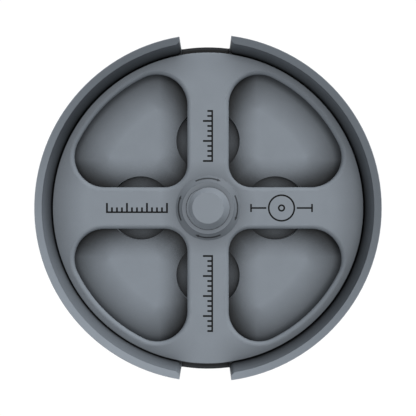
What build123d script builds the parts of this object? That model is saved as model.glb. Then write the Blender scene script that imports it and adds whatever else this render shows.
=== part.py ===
from build123d import *
from math import ceil, radians, tan
import os

os.makedirs("parts", exist_ok=True)

# Grinding disc holder: a tray with a threaded post, and a lid that screws down on the discs.
# Millimetres, +Z up, origin at the centre of the underside.

# How far a cutting shape reaches past what it cuts
cut_margin = 2.0

# Discs that the holder takes
disc_diameter = 152.4
disc_bore = 22.23

# Tray
disc_side_clearance = 2.3
wall_thickness = 2.85
wall_top_land = 0.2
tray_height = 49.0
floor_thickness = 6.0
tray_inner_chamfer = 1.5
tray_foot_chamfer = 1.0

# Grip slots, one straight band across both walls
slot_left = 13.4
slot_right = 10.9
slot_depth = 29.6
slot_end_round = 2.7
slot_bottom_fillet = 1.2

# Post, a bolt put in from below with its hexagon in a pocket of the floor
bore_clearance = 0.27
head_across_flats = 30.0
head_height = 3.5
head_recess = 0.3
head_clearance = 0.15
head_chamfer = 0.6
shank_clearance = 0.15
shank_above_floor = 2.0
post_above_floor = 25.0
post_tip_chamfer = 3.0

# Screw thread
thread_pitch = 5.0
thread_depth = 1.5
thread_crest_width = 2.7
thread_flank_angle = 30.0
thread_relief = 0.15
thread_overlap = 0.25
thread_start = 110.0
thread_radial_clearance = 0.25
thread_axial_clearance = 0.25
thread_lead_in = 0.3

# Thrust washer, snapped into the lid
washer_thickness = 2.0
washer_outer_radius = 15.9
washer_post_clearance = 0.3
washer_pocket_clearance = 0.3
washer_bead = 0.5
washer_proud = 0.3
washer_play = 0.1
seat_gap = 0.3

# Lid
lid_clearance = 0.75
lid_height = 17.8
lid_rim_chamfer = 0.3
lid_foot_chamfer = 1.0

# Wells between the spokes
spoke_width = 20.9
rim_width = 4.7
well_depth = 13.0
well_lip = 2.3
well_undercut_angle = 11.5
well_hub_corner = 11.3
well_rim_corner = 15.2
well_edge_fillet = 2.1

# Finger holes that let a hand grip the spokes
finger_hole_radius = 16.4
finger_hole_reach = 34.7
spoke_thickness = 6.0

# Hub of the lid
hub_rise = 3.0
hub_ring_width = 1.95
hub_collar_drop = 0.5
hub_collar_run = 0.25
hub_cone_run = 3.05

# Levels
head_top = head_recess + head_height
shank_top = floor_thickness + shank_above_floor
post_top = floor_thickness + post_above_floor
slot_floor = tray_height - slot_depth
slot_root = slot_floor + slot_bottom_fillet
washer_bottom = floor_thickness + seat_gap
washer_top = washer_bottom + washer_thickness
washer_middle = (washer_bottom + washer_top) / 2
pocket_ceiling = washer_top + washer_play
lid_bottom = washer_bottom + washer_proud
lid_top = lid_bottom + lid_height
hub_top = lid_top + hub_rise
well_mouth = lid_top - well_lip
finger_hole_ceiling = lid_top - spoke_thickness

# Radii
tray_inner_radius = disc_diameter / 2 + disc_side_clearance
tray_outer_radius = tray_inner_radius + wall_thickness
lid_radius = tray_inner_radius - lid_clearance
well_outer_radius = lid_radius - rim_width
shank_radius = disc_bore / 2 - bore_clearance
thread_major = shank_radius - thread_relief
thread_minor = thread_major - thread_depth
lid_thread_major = thread_major + thread_radial_clearance
lid_thread_minor = thread_minor + thread_radial_clearance
post_tip_radius = thread_major - post_tip_chamfer
washer_inner_radius = shank_radius + washer_post_clearance
pocket_radius = washer_outer_radius + washer_pocket_clearance
lead_in_radius = lid_thread_major + thread_lead_in
hub_ring_radius = lid_thread_major + hub_ring_width
hub_collar_radius = hub_ring_radius + hub_collar_run
hub_foot_radius = hub_collar_radius + hub_cone_run


# Half the axial width of the thread's ridge where it has a given radius
def ridge_half_width(radius):
    return thread_crest_width / 2 + (thread_major - radius) * tan(radians(thread_flank_angle))


# One turn of the right-hand ridge, from its root inside the core to its crest
def ridge_turn(inner, outer, flank_clearance):
    inner_half = ridge_half_width(inner) + flank_clearance
    outer_half = ridge_half_width(outer) + flank_clearance
    with BuildPart() as turn:
        with BuildLine() as path:
            Helix(thread_pitch, thread_pitch, inner)
        with BuildSketch(Plane.XZ):
            with BuildLine():
                Polyline(
                    (inner, -inner_half),
                    (outer, -outer_half),
                    (outer, outer_half),
                    (inner, inner_half),
                    close=True,
                )
            make_face()
        sweep(path=path.wires()[0], is_frenet=True)
    return turn.part


# Places of the turns that fill the thread from the shank up past a level
def turn_places(top):
    turns = ceil((top - shank_top) / thread_pitch) + 1
    start = shank_top - thread_pitch / 2
    return [Location((0, 0, start + turn * thread_pitch), (0, 0, thread_start)) for turn in range(turns)]


# Tray: floor, wall and grip slots
with BuildPart() as tray:
    with BuildSketch():
        Circle(tray_outer_radius)
    extrude(amount=slot_root)
    with BuildSketch(Plane.XY.offset(floor_thickness)):
        Circle(tray_inner_radius)
    extrude(amount=slot_root - floor_thickness, mode=Mode.SUBTRACT)
    bowl_edge = tray.edges().filter_by(GeomType.CIRCLE).filter_by_position(
        Axis.Z, floor_thickness, floor_thickness
    )
    chamfer(bowl_edge, tray_inner_chamfer)
    chamfer(tray.edges().group_by(Axis.Z)[0], tray_foot_chamfer)

    # Rounded bottom of the slots
    with BuildSketch(Plane.XZ) as slot_section:
        with Locations((-slot_left, slot_floor)):
            Rectangle(
                slot_left + slot_right,
                slot_depth,
                align=(Align.MIN, Align.MIN),
            )
        fillet(slot_section.vertices().group_by(Axis.Z)[0], slot_bottom_fillet)
    extrude(amount=tray_outer_radius + cut_margin, both=True, mode=Mode.SUBTRACT)

    # Two C-shaped walls above them, with rounded inner ends
    with BuildSketch(Plane.XY.offset(slot_root)) as walls:
        Circle(tray_outer_radius)
        Circle(tray_inner_radius, mode=Mode.SUBTRACT)
        with Locations((-slot_left, 0)):
            Rectangle(
                slot_left + slot_right,
                2 * (tray_outer_radius + cut_margin),
                align=(Align.MIN, Align.CENTER),
                mode=Mode.SUBTRACT,
            )
        wall_middle = tray_inner_radius + wall_thickness / 2
        inner_ends = [v for v in walls.vertices() if Vector(v.X, v.Y).length < wall_middle]
        fillet(inner_ends, slot_end_round)
    extrude(amount=tray_height - slot_root)

    # Lead-in across the top of the wall
    with BuildSketch(Plane.XZ):
        with BuildLine():
            Polyline(
                (tray_outer_radius - wall_top_land, tray_height),
                (tray_outer_radius - wall_top_land - wall_thickness, tray_height - wall_thickness),
                (tray_outer_radius - wall_top_land - wall_thickness, tray_height),
                close=True,
            )
        make_face()
    revolve(axis=Axis.Z, mode=Mode.SUBTRACT)

    # Pocket for the hexagon and hole for the shank
    with BuildSketch():
        RegularPolygon(head_across_flats / 2 + head_clearance, 6, major_radius=False)
    extrude(amount=head_top, mode=Mode.SUBTRACT)
    with BuildSketch():
        Circle(shank_radius + shank_clearance)
    extrude(amount=floor_thickness, mode=Mode.SUBTRACT)

tray.part.label = "tray"
export_step(tray.part, "parts/tray.step")

# Centre post: hexagon, plain shank where the discs sit, thread and pointed tip
with BuildPart() as centre_post:
    with BuildSketch(Plane.XY.offset(head_recess)):
        RegularPolygon(head_across_flats / 2, 6, major_radius=False)
    extrude(amount=head_height)
    chamfer(centre_post.edges().group_by(Axis.Z)[0], head_chamfer)
    with BuildSketch(Plane.XY.offset(head_top)):
        Circle(shank_radius)
    extrude(amount=shank_top - head_top)
    with BuildSketch(Plane.XY.offset(shank_top)):
        Circle(thread_minor)
    extrude(amount=post_top - shank_top)
    with Locations(*turn_places(post_top)):
        add(ridge_turn(thread_minor - thread_overlap, thread_major, 0))
    with BuildSketch(Plane.XZ):
        with BuildLine():
            Polyline(
                (0, post_top),
                (post_tip_radius, post_top),
                (thread_major + cut_margin, post_top - post_tip_chamfer - cut_margin),
                (thread_major + cut_margin, post_top + 2 * thread_pitch),
                (0, post_top + 2 * thread_pitch),
                close=True,
            )
        make_face()
    revolve(axis=Axis.Z, mode=Mode.SUBTRACT)

centre_post.part.label = "centre_post"
export_step(centre_post.part, "parts/centre_post.step")

# Thrust washer: plain ring with a bead round its edge
with BuildPart() as thrust_washer:
    with BuildSketch(Plane.XZ):
        with BuildLine():
            Polyline(
                (washer_inner_radius, washer_bottom),
                (washer_outer_radius, washer_bottom),
                (washer_outer_radius, washer_middle - washer_bead),
                (washer_outer_radius + washer_bead, washer_middle),
                (washer_outer_radius, washer_middle + washer_bead),
                (washer_outer_radius, washer_top),
                (washer_inner_radius, washer_top),
                close=True,
            )
        make_face()
    revolve(axis=Axis.Z)

thrust_washer.part.label = "thrust_washer"
export_step(thrust_washer.part, "parts/thrust_washer.step")

# One well, as the solid that is cut away: straight through the lip, then wider towards the floor
with BuildPart() as well:
    with BuildSketch(Plane.XY.offset(well_mouth)) as well_outline:
        Circle(well_outer_radius)
        with Locations((spoke_width / 2, spoke_width / 2)):
            Rectangle(
                well_outer_radius,
                well_outer_radius,
                align=(Align.MIN, Align.MIN),
                mode=Mode.INTERSECT,
            )
        fillet(well_outline.vertices().sort_by_distance((0, 0, well_mouth))[0], well_hub_corner)
        fillet(well_outline.vertices().sort_by_distance((0, 0, well_mouth))[-2:], well_rim_corner)
    extrude(well_outline.sketch, amount=well_lip)
    extrude(well_outline.sketch, amount=well_lip - well_depth, taper=-well_undercut_angle)

# Tap: the threaded bore with its lead-in and the washer's pocket, as the solid that is cut away
with BuildPart() as tap:
    with BuildSketch(Plane.XZ):
        with BuildLine():
            Polyline(
                (0, lid_bottom),
                (pocket_radius, lid_bottom),
                (pocket_radius, washer_middle - washer_bead),
                (pocket_radius + washer_bead, washer_middle),
                (pocket_radius, washer_middle + washer_bead),
                (pocket_radius, pocket_ceiling),
                (lead_in_radius, pocket_ceiling),
                (lid_thread_minor, pocket_ceiling + lead_in_radius - lid_thread_minor),
                (lid_thread_minor, hub_top + cut_margin),
                (0, hub_top + cut_margin),
                close=True,
            )
        make_face()
    revolve(axis=Axis.Z)
    with Locations(*turn_places(hub_top)):
        add(ridge_turn(lid_thread_minor - thread_overlap, lid_thread_major, thread_axial_clearance))

# Screw lid: rim, spokes, wells, finger holes and threaded hub
with BuildPart() as screw_lid:
    with BuildSketch(Plane.XY.offset(lid_bottom)):
        Circle(lid_radius)
    extrude(amount=lid_height)
    chamfer(screw_lid.edges().group_by(Axis.Z)[0], lid_foot_chamfer)
    chamfer(screw_lid.edges().group_by(Axis.Z)[-1], lid_rim_chamfer)
    with PolarLocations(0, 4):
        add(well.part, mode=Mode.SUBTRACT)
    well_edges = screw_lid.edges().group_by(Axis.Z)[-1].sort_by(SortBy.LENGTH)[:-1]
    fillet(well_edges, well_edge_fillet)

    # Finger holes from below
    with BuildSketch(Plane.XY.offset(lid_bottom)):
        with PolarLocations(finger_hole_reach, 4):
            Circle(finger_hole_radius)
    extrude(amount=finger_hole_ceiling - lid_bottom, mode=Mode.SUBTRACT)

    # Conical hub
    with BuildSketch(Plane.XZ):
        with BuildLine():
            Polyline(
                (0, lid_top - hub_rise),
                (hub_foot_radius, lid_top - hub_rise),
                (hub_foot_radius, lid_top),
                (hub_collar_radius, hub_top - hub_collar_drop),
                (hub_ring_radius, hub_top),
                (0, hub_top),
                close=True,
            )
        make_face()
    revolve(axis=Axis.Z)

    # Threaded bore
    add(tap.part, mode=Mode.SUBTRACT)

screw_lid.part.label = "screw_lid"
export_step(screw_lid.part, "parts/screw_lid.step")
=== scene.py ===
from math import cos, pi, radians, sin
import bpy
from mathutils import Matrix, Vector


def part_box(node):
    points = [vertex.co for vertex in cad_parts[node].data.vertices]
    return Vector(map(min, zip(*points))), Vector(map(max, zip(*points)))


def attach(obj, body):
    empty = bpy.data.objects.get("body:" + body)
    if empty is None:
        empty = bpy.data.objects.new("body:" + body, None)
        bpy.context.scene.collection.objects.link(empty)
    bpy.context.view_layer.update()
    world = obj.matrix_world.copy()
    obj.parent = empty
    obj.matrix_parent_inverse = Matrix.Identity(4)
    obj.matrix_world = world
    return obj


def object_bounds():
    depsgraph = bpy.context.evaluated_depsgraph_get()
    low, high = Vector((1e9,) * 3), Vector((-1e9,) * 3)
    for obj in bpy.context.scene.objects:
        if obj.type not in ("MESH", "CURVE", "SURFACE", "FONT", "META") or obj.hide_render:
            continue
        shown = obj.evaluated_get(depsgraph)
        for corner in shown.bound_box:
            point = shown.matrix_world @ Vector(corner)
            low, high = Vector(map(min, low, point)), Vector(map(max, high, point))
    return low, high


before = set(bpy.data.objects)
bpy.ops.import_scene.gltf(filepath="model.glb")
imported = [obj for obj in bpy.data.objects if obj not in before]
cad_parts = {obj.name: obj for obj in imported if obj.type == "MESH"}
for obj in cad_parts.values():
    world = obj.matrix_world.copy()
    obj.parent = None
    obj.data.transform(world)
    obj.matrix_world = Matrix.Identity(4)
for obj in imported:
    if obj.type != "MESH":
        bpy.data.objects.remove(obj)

from types import SimpleNamespace

import bpy
import bmesh
from mathutils import Vector

cad_low, cad_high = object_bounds()

# Lengths are in metres. Angles are in degrees here, apart from the directions of the spokes, and in
# radians in the functions.

# Camera: straight above the hub, looking down
camera_height = 0.4125
camera_lens = 67.2
camera_sensor = 36.0
camera_near = 0.01

# Light: a low even sky, a soft lamp overhead that casts shadows, and two low ones that fill them.
# Each lamp has its azimuth, its height, its strength and whether it casts shadows.
sky_strength = 0.155
lamp_angle = 20.0
lamps = {
    "key_lamp": (60.0, 25.0, 2.1, False),
    "top_lamp": (20.0, 86.5, 1.44, True),
    "low_lamp": (210.0, 20.0, 0.36, False),
}

# Floor: matt, with a share of glow for the rays that show the studio
floor_radius = 3.0
floor_segments = 96
floor_drop = 0.0003
floor_colour = (0.8, 0.8, 0.8)
floor_whiteness = 0.6
floor_glow = 1.2
white = (1.0, 1.0, 1.0, 1.0)

# Plastic: colour and sheen, then mottling, rubbed edges, uneven gloss and fine grain.
# Scales are in noise cells a metre.
plastic_colour = (0.236, 0.266, 0.301)
plastic_sheen = 0.16
plastic_ior = 1.46
mottle_scale = 90.0
mottle_detail = 4.0
mottle_ends = (0.3, 0.7)
mottle_tint = (0.975, 1.025)
edge_radius = 0.0004
edge_samples = 4
edge_likeness = (0.99, 0.80)
edge_wear = 0.25
edge_lightening = 1.5
scuff_scale = 700.0
gloss_scale = 260.0
gloss_detail = 3.0
gloss_roughness = (0.5, 0.64)
grain_scale = 3200.0
grain_height = 0.0002
grain_strength = 0.05

# Filling of the engraved marks, and the painted shade of the arrows' grooves
mark_colour = (0.0092, 0.0091, 0.0088)
groove_shade_colour = (0.05, 0.054, 0.06)
filling_sheen = 0.05
speckle_scale = 1800.0
speckle_tint = (0.7, 1.3)
speckle_roughness = (0.7, 0.9)

# Painted shade in corners: how far from a corner it reaches, and how fast it darkens as a corner closes in
shade_reach = 0.018
shade_samples = 8
shade_power = 1.5

# Painted shade on the lid: on its top it is light. In the wells, from a small depth below the top, it is
# darkest near the spokes and even further out. Below the wells' floor it is light again.
top_shade_power = 1.0
top_shade_depth = 0.0015
spoke_shade_power = 4.4
spoke_shade_place = 0.0112
even_shade_place = 0.025
under_low = 0.0107
under_high = 0.0113

# A ring of painted shade lies on the lid's top round the hub
hub_shade_inner = 0.0162
hub_shade_outer = 0.0245
hub_shade_strength = 0.76
hub_shade_depth = 0.0006

# Painted shade on the tray's floor is darker
floor_shade_power = 2.8
floor_shade_low = 0.004
floor_shade_high = 0.012

# Painted shade on the floors of the grip slots, which face up
slot_shade_radius = 0.0788
slot_shade_height = 0.0215
slot_shade_strength = 0.1
facing_up = 0.5

# Painted shade on the tray's inner wall: darkest at its lower height, thinning out towards the upper one.
# It ends at the chamfer, and there is less of it on the side that faces the key lamp.
wall_shade_inner = 0.075
wall_shade_outer = 0.08
wall_shade_low = 0.022
wall_shade_high = 0.043
wall_shade_darkest = 0.15
wall_shade_lightest = 0.66
chamfer_foot = 0.0458
lit_azimuth = 220.0
lit_from = 0.35
lit_side_share = 0.4

# The lid's levels, and the hub's cone that the arrows lie on
hub_rise = 0.003
lid_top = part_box("screw_lid")[1][2] - hub_rise
cone_top_radius = 0.01315
cone_foot_radius = 0.0162
cone_rise = 0.0025

# Arrows round the hub
arrow_radius = 0.01475
arrow_half_angle = 25.0
arrow_width = 0.0007
arrow_steps = 16
arrow_head_angle = 7.0
arrow_barb_angle = 0.4375
arrow_head_width = 0.0014
arrow_tip_width = 0.0000875

# Marks on the spokes: how far they stand out and reach in
mark_raise = 0.00003
mark_sink = 0.00025

# Each scale has the direction of its spoke, its start and end, and the side of its base line
scales = {
    "scale_left": (pi, 0.0205, 0.0505, 1),
    "scale_back": (pi / 2, 0.0235, 0.0485, -1),
    "scale_front": (-pi / 2, 0.023, 0.0625, 1),
}
scale_line = 0.0008
scale_half_height = 0.0025
tick_width = 0.0009
tick_long = 0.005
tick_short = 0.0028
tick_pitch = 0.0025
ticks_to_long = 4

disc_mark_direction = 0.0
disc_mark_place = 0.03675
disc_mark_radius = 0.0064
disc_mark_bore = 0.0014
disc_mark_line = 0.0008
axle_start = 0.0215
axle_end = 0.052
axle_gap = 0.0012
axle_cross = 0.004
ring_steps = 72


def new_material(name):
    material = bpy.data.materials.new(name)
    material.use_nodes = True
    tree = material.node_tree
    tree.nodes.clear()
    return material, tree


def node(tree, kind, **settings):
    made = tree.nodes.new(kind)
    for key, value in settings.items():
        setattr(made, key, value)
    return made


# One number mapped from one range to another, held at its ends
def spread(tree, value, ends, results):
    made = node(tree, "ShaderNodeMapRange")
    made.inputs["From Min"].default_value = ends[0]
    made.inputs["From Max"].default_value = ends[1]
    made.inputs["To Min"].default_value = results[0]
    made.inputs["To Max"].default_value = results[1]
    tree.links.new(value, made.inputs["Value"])
    return made.outputs["Result"]


# One step of arithmetic. Each value is a number or another node's output.
def combine(tree, operation, *values):
    made = node(tree, "ShaderNodeMath", operation=operation)
    for socket, value in zip(made.inputs, values):
        if isinstance(value, (int, float)):
            socket.default_value = value
        else:
            tree.links.new(value, socket)
    return made.outputs["Value"]


def product(tree, first, *others):
    for other in others:
        first = combine(tree, "MULTIPLY", first, other)
    return first


# What is left when a share is taken away
def without(tree, share):
    return combine(tree, "SUBTRACT", 1.0, share)


# A colour times a number
def shaded(tree, colour, shade):
    made = node(tree, "ShaderNodeVectorMath", operation="SCALE")
    made.inputs[0].default_value = colour
    tree.links.new(shade, made.inputs["Scale"])
    return made.outputs["Vector"]


# Noise in the piece's own coordinates
def noise(tree, place, scale, detail=2.0):
    made = node(tree, "ShaderNodeTexNoise")
    made.inputs["Scale"].default_value = scale
    made.inputs["Detail"].default_value = detail
    tree.links.new(place.outputs["Object"], made.inputs["Vector"])
    return made.outputs["Fac"]


# Where a point of the piece lies: its coordinates, its distance from the axis and how far it faces up
def whereabouts(tree, place):
    along = node(tree, "ShaderNodeSeparateXYZ")
    tree.links.new(place.outputs["Object"], along.inputs["Vector"])
    x, y, z = (along.outputs[axis] for axis in "XYZ")
    squares = combine(tree, "ADD", product(tree, x, x), product(tree, y, y))
    slope = node(tree, "ShaderNodeSeparateXYZ")
    tree.links.new(place.outputs["Normal"], slope.inputs["Vector"])
    radius = combine(tree, "SQRT", squares)
    return SimpleNamespace(x=x, y=y, z=z, radius=radius, facing=slope.outputs["Z"])


# Painted shade where a surface is shut in, darker as the corner closes in
def corner_shade(tree, power):
    corners = node(tree, "ShaderNodeAmbientOcclusion", samples=shade_samples)
    corners.inputs["Distance"].default_value = shade_reach
    return combine(tree, "POWER", corners.outputs["AO"], power)


# The three painted shades that satin_plastic may be given: each gives the shade at a place
def plain_shade(tree, where):
    return corner_shade(tree, shade_power)


# Painted shade on the lid: light on its top, darkest in the wells near the spokes, with a painted ring
# round the hub
def lid_shade(tree, where):
    across = combine(tree, "ABSOLUTE", where.x)
    away = combine(tree, "MINIMUM", across, combine(tree, "ABSOLUTE", where.y))
    powers = (spoke_shade_power - top_shade_power, shade_power - top_shade_power)
    extra = spread(tree, away, (spoke_shade_place, even_shade_place), powers)
    depth = spread(tree, where.z, (lid_top - top_shade_depth, lid_top), (1.0, 0.0))
    above = spread(tree, where.z, (under_low, under_high), (0.0, 1.0))
    power = combine(tree, "ADD", product(tree, depth, above, extra), top_shade_power)

    ring = spread(tree, where.radius, (hub_shade_inner, hub_shade_outer), (1.0 - hub_shade_strength, 0.0))
    high = combine(tree, "GREATER_THAN", where.z, lid_top - hub_shade_depth)
    return product(tree, corner_shade(tree, power), without(tree, product(tree, high, ring)))


# Share of light that the painted shade on the tray's inner wall takes away, less on the side facing the
# key lamp
def wall_shade_loss(tree, where):
    outwards = combine(tree, "GREATER_THAN", where.radius, wall_shade_inner)
    inwards = combine(tree, "LESS_THAN", where.radius, wall_shade_outer)
    below = combine(tree, "LESS_THAN", where.z, chamfer_foot)
    side_x = combine(tree, "MULTIPLY", where.x, cos(radians(lit_azimuth)))
    side_y = combine(tree, "MULTIPLY", where.y, sin(radians(lit_azimuth)))
    side = combine(tree, "DIVIDE", combine(tree, "ADD", side_x, side_y), where.radius)
    unlit_side = spread(tree, side, (lit_from, 1.0), (1.0, lit_side_share))
    shades = (wall_shade_darkest, wall_shade_lightest)
    shade = spread(tree, where.z, (wall_shade_low, wall_shade_high), shades)
    return product(tree, outwards, inwards, below, unlit_side, without(tree, shade))


# The same for the floors of the grip slots
def slot_shade_loss(tree, where):
    outwards = combine(tree, "GREATER_THAN", where.radius, slot_shade_radius)
    low = combine(tree, "LESS_THAN", where.z, slot_shade_height)
    up = combine(tree, "GREATER_THAN", where.facing, facing_up)
    return product(tree, outwards, low, up, 1.0 - slot_shade_strength)


# Painted shade on the tray: darker on its floor, on the slot floors and on the inner wall
def tray_shade(tree, where):
    power = spread(tree, where.z, (floor_shade_low, floor_shade_high), (floor_shade_power, shade_power))
    slots = without(tree, slot_shade_loss(tree, where))
    wall = without(tree, wall_shade_loss(tree, where))
    return product(tree, corner_shade(tree, power), slots, wall)


# Share of the lighter colour on edges, where a rounded normal leaves the true one
def rubbed_edges(tree, place):
    rounded = node(tree, "ShaderNodeBevel", samples=edge_samples)
    rounded.inputs["Radius"].default_value = edge_radius
    face = node(tree, "ShaderNodeNewGeometry")
    likeness = node(tree, "ShaderNodeVectorMath", operation="DOT_PRODUCT")
    tree.links.new(rounded.outputs["Normal"], likeness.inputs[0])
    tree.links.new(face.outputs["Normal"], likeness.inputs[1])
    edge = spread(tree, likeness.outputs["Value"], edge_likeness, (0.0, edge_wear))
    return product(tree, edge, noise(tree, place, scuff_scale))


# Satin printed plastic: faint mottling, painted shade in its corners, rubbed edges, uneven gloss and fine
# grain
def satin_plastic(name, painted_shade):
    material, tree = new_material(name)
    link = tree.links.new
    output = node(tree, "ShaderNodeOutputMaterial")
    shader = node(tree, "ShaderNodeBsdfPrincipled")
    shader.inputs["IOR"].default_value = plastic_ior
    shader.inputs["Specular IOR Level"].default_value = plastic_sheen
    place = node(tree, "ShaderNodeTexCoord")

    tint = spread(tree, noise(tree, place, mottle_scale, mottle_detail), mottle_ends, mottle_tint)
    shade = product(tree, tint, painted_shade(tree, whereabouts(tree, place)))
    paint = node(tree, "ShaderNodeMix", data_type="RGBA")
    lighter = [min(1.0, part * edge_lightening) for part in plastic_colour]
    paint.inputs["B"].default_value = (*lighter, 1.0)
    link(rubbed_edges(tree, place), paint.inputs["Factor"])
    link(shaded(tree, plastic_colour, shade), paint.inputs["A"])
    link(paint.outputs["Result"], shader.inputs["Base Color"])

    gloss = noise(tree, place, gloss_scale, gloss_detail)
    link(spread(tree, gloss, (0.0, 1.0), gloss_roughness), shader.inputs["Roughness"])

    bump = node(tree, "ShaderNodeBump")
    bump.inputs["Strength"].default_value = grain_strength
    bump.inputs["Distance"].default_value = grain_height
    link(noise(tree, place, grain_scale), bump.inputs["Height"])
    link(bump.outputs["Normal"], shader.inputs["Normal"])
    link(shader.outputs["BSDF"], output.inputs["Surface"])
    return material


# Matt, slightly speckled filling of an engraving, also used as the painted shade of the arrows' grooves
def matt_filling_and_groove_shade(name, colour):
    material, tree = new_material(name)
    link = tree.links.new
    output = node(tree, "ShaderNodeOutputMaterial")
    shader = node(tree, "ShaderNodeBsdfPrincipled")
    shader.inputs["Specular IOR Level"].default_value = filling_sheen
    speckle = noise(tree, node(tree, "ShaderNodeTexCoord"), speckle_scale)
    tint = spread(tree, speckle, (0.0, 1.0), speckle_tint)
    link(shaded(tree, colour, tint), shader.inputs["Base Color"])
    link(spread(tree, speckle, (0.0, 1.0), speckle_roughness), shader.inputs["Roughness"])
    link(shader.outputs["BSDF"], output.inputs["Surface"])
    return material


# 1 for the rays that show the white studio: those of the camera, and those in gloss and glass
def studio_rays(tree):
    ray = node(tree, "ShaderNodeLightPath")
    bent = combine(tree, "MAXIMUM", ray.outputs["Is Glossy Ray"], ray.outputs["Is Transmission Ray"])
    return combine(tree, "MAXIMUM", ray.outputs["Is Camera Ray"], bent)


# Floor that is white to those rays and keeps a faint shadow of the object
def floor_material():
    material, tree = new_material("studio_floor")
    link = tree.links.new
    output = node(tree, "ShaderNodeOutputMaterial")
    matt = node(tree, "ShaderNodeBsdfDiffuse")
    matt.inputs["Color"].default_value = (*floor_colour, 1.0)
    glow = node(tree, "ShaderNodeEmission")
    glow.inputs["Strength"].default_value = floor_glow
    mix = node(tree, "ShaderNodeMixShader")
    link(product(tree, studio_rays(tree), floor_whiteness), mix.inputs["Fac"])
    link(matt.outputs["BSDF"], mix.inputs[1])
    link(glow.outputs["Emission"], mix.inputs[2])
    link(mix.outputs["Shader"], output.inputs["Surface"])
    return material


def add_object(name, data):
    made = bpy.data.objects.new(name, data)
    bpy.context.scene.collection.objects.link(made)
    return made


# An object from a finished bmesh
def add_mesh(name, work, material):
    mesh = bpy.data.meshes.new(name)
    work.to_mesh(mesh)
    work.free()
    mesh.materials.append(material)
    return add_object(name, mesh)


def make_camera():
    data = bpy.data.cameras.new("camera")
    data.lens = camera_lens
    data.sensor_width = camera_sensor
    data.clip_start = camera_near
    camera = add_object("camera", data)
    camera.location = (0.0, 0.0, camera_height)
    bpy.context.scene.camera = camera


def make_lamp(name, azimuth, height, strength, shadow):
    data = bpy.data.lights.new(name, "SUN")
    data.energy = strength
    data.angle = radians(lamp_angle)
    data.use_shadow = shadow
    around = radians(azimuth)
    up = radians(height)
    towards = Vector((cos(up) * cos(around), cos(up) * sin(around), sin(up)))
    add_object(name, data).rotation_euler = towards.to_track_quat("Z", "Y").to_euler()


def make_sky():
    world = bpy.data.worlds.new("studio")
    world.use_nodes = True
    tree = world.node_tree
    tree.nodes.clear()
    output = node(tree, "ShaderNodeOutputWorld")
    mix = node(tree, "ShaderNodeMixShader")
    for socket, strength in ((mix.inputs[1], sky_strength), (mix.inputs[2], 1.0)):
        sky = node(tree, "ShaderNodeBackground")
        sky.inputs["Color"].default_value = white
        sky.inputs["Strength"].default_value = strength
        tree.links.new(sky.outputs["Background"], socket)
    tree.links.new(studio_rays(tree), mix.inputs["Fac"])
    tree.links.new(mix.outputs["Shader"], output.inputs["Surface"])
    bpy.context.scene.world = world


def make_floor():
    work = bmesh.new()
    bmesh.ops.create_circle(work, cap_ends=True, radius=floor_radius, segments=floor_segments)
    floor = add_mesh("floor", work, floor_material())
    floor.location.z = cad_low[2] - floor_drop


# A point on the hub's cone and the cone's normal there
def on_cone(radius, angle):
    run = cone_foot_radius - cone_top_radius
    height = lid_top + (cone_foot_radius - radius) * cone_rise / run
    normal = Vector((cone_rise * cos(angle), cone_rise * sin(angle), run)).normalized()
    return Vector((radius * cos(angle), radius * sin(angle), height)), normal


# A point on the lid's flat top, along a spoke and across it to the left, and the normal there
def on_spoke(direction, along, across):
    x = along * cos(direction) - across * sin(direction)
    y = along * sin(direction) + across * cos(direction)
    return Vector((x, y, lid_top)), Vector((0.0, 0.0, 1.0))


# Adds a thin solid between two rails. A rail is a list of points on the surface and its normals there.
def add_strip(work, left, right, closed):
    count = len(left)
    sides = ((left, mark_raise), (right, mark_raise), (right, -mark_sink), (left, -mark_sink))
    edges = [[work.verts.new(point + offset * normal) for point, normal in rail] for rail, offset in sides]
    for i in range(count if closed else count - 1):
        j = (i + 1) % count
        for a, b in zip(edges, edges[1:] + edges[:1]):
            work.faces.new((a[i], b[i], b[j], a[j]))
    if not closed:
        for i in (0, count - 1):
            work.faces.new([edge[i] for edge in edges])


# A piece on the lid, made of strips
def make_mark(name, strips, material):
    work = bmesh.new()
    for left, right, closed in strips:
        add_strip(work, left, right, closed)
    bmesh.ops.recalc_face_normals(work, faces=work.faces)
    piece = add_mesh(name, work, material)
    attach(piece, "lid")


# Arrow that points clockwise, along an arc of the cone
def make_arrow(name, middle, material):
    start = middle + radians(arrow_half_angle)
    neck = middle - radians(arrow_half_angle - arrow_head_angle)
    tip = middle - radians(arrow_half_angle)
    stations = [(start + (neck - start) * i / arrow_steps, arrow_width) for i in range(arrow_steps + 1)]
    stations.append((neck - radians(arrow_barb_angle), arrow_head_width))
    stations.append((tip, arrow_tip_width))
    left = [on_cone(arrow_radius + width / 2, angle) for angle, width in stations]
    right = [on_cone(arrow_radius - width / 2, angle) for angle, width in stations]
    make_mark(name, [(left, right, False)], material)


# The strip of a straight bar on a spoke, from one place to another
def bar(direction, start, end, width):
    start, end = Vector(start), Vector(end)
    reach = (end - start).normalized() * width / 2
    side = Vector((-reach.y, reach.x))
    left = [on_spoke(direction, *(place + side)) for place in (start, end)]
    right = [on_spoke(direction, *(place - side)) for place in (start, end)]
    return left, right, False


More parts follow.
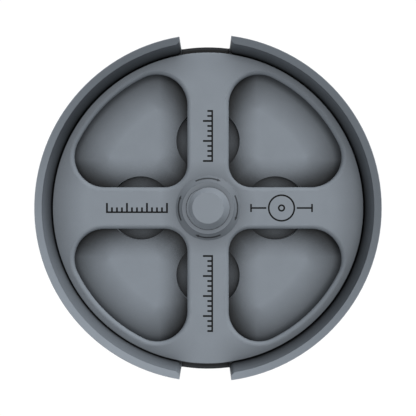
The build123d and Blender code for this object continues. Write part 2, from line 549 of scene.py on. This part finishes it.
# The strip of a circle on a spoke
def circle(direction, place, radius, width):
    turns = [2 * pi * i / ring_steps for i in range(ring_steps)]
    rails = [
        [on_spoke(direction, place + reach * cos(turn), reach * sin(turn)) for turn in turns]
        for reach in (radius + width / 2, radius - width / 2)
    ]
    return *rails, True


# Plain tick scale along a spoke
def make_scale(name, direction, start, end, base_side, material):
    count = int((end - start) / tick_pitch)
    first = start + (end - start - count * tick_pitch) / 2
    last = first + count * tick_pitch
    base = base_side * (scale_half_height - scale_line / 2)
    foot = base_side * (scale_half_height - scale_line)
    strips = [bar(direction, (first - tick_width / 2, base), (last + tick_width / 2, base), scale_line)]
    for index in range(count + 1):
        place = first + index * tick_pitch
        length = tick_short if index % ticks_to_long else tick_long
        top = base_side * (scale_half_height - length)
        strips.append(bar(direction, (place, foot), (place, top), tick_width))
    make_mark(name, strips, material)


# Pictogram of one disc on its axle
def make_disc_mark(name, direction, material):
    line = disc_mark_line
    radii = (disc_mark_radius, disc_mark_bore)
    strips = [circle(direction, disc_mark_place, radius, line) for radius in radii]
    for end, side in ((axle_start, -1), (axle_end, 1)):
        inner = disc_mark_place + side * (disc_mark_radius + axle_gap)
        strips.append(bar(direction, (inner, 0.0), (end - side * line / 2, 0.0), line))
        strips.append(bar(direction, (end, -axle_cross / 2), (end, axle_cross / 2), line))
    make_mark(name, strips, material)


make_camera()
make_sky()
for name, settings in lamps.items():
    make_lamp(name, *settings)
make_floor()

finishes = {
    "tray": satin_plastic("tray_satin", tray_shade),
    "centre_post": satin_plastic("post_satin", plain_shade),
    "thrust_washer": satin_plastic("washer_satin", plain_shade),
    "screw_lid": satin_plastic("lid_satin", lid_shade),
}
for name, material in finishes.items():
    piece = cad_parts[name]
    piece.data.materials.clear()
    piece.data.materials.append(material)

# The arrows are dark strips on the hub's cone: painted shade of engraved grooves
arrow_shade_material = matt_filling_and_groove_shade("arrow_groove_shade", groove_shade_colour)
for index, side in enumerate(("right", "back", "left", "front")):
    make_arrow(f"arrow_{side}", index * pi / 2, arrow_shade_material)

filling = matt_filling_and_groove_shade("mark_filling", mark_colour)
for name, settings in scales.items():
    make_scale(name, *settings, filling)
make_disc_mark("disc_mark", disc_mark_direction, filling)

bpy.context.scene.view_settings.view_transform = "Standard"
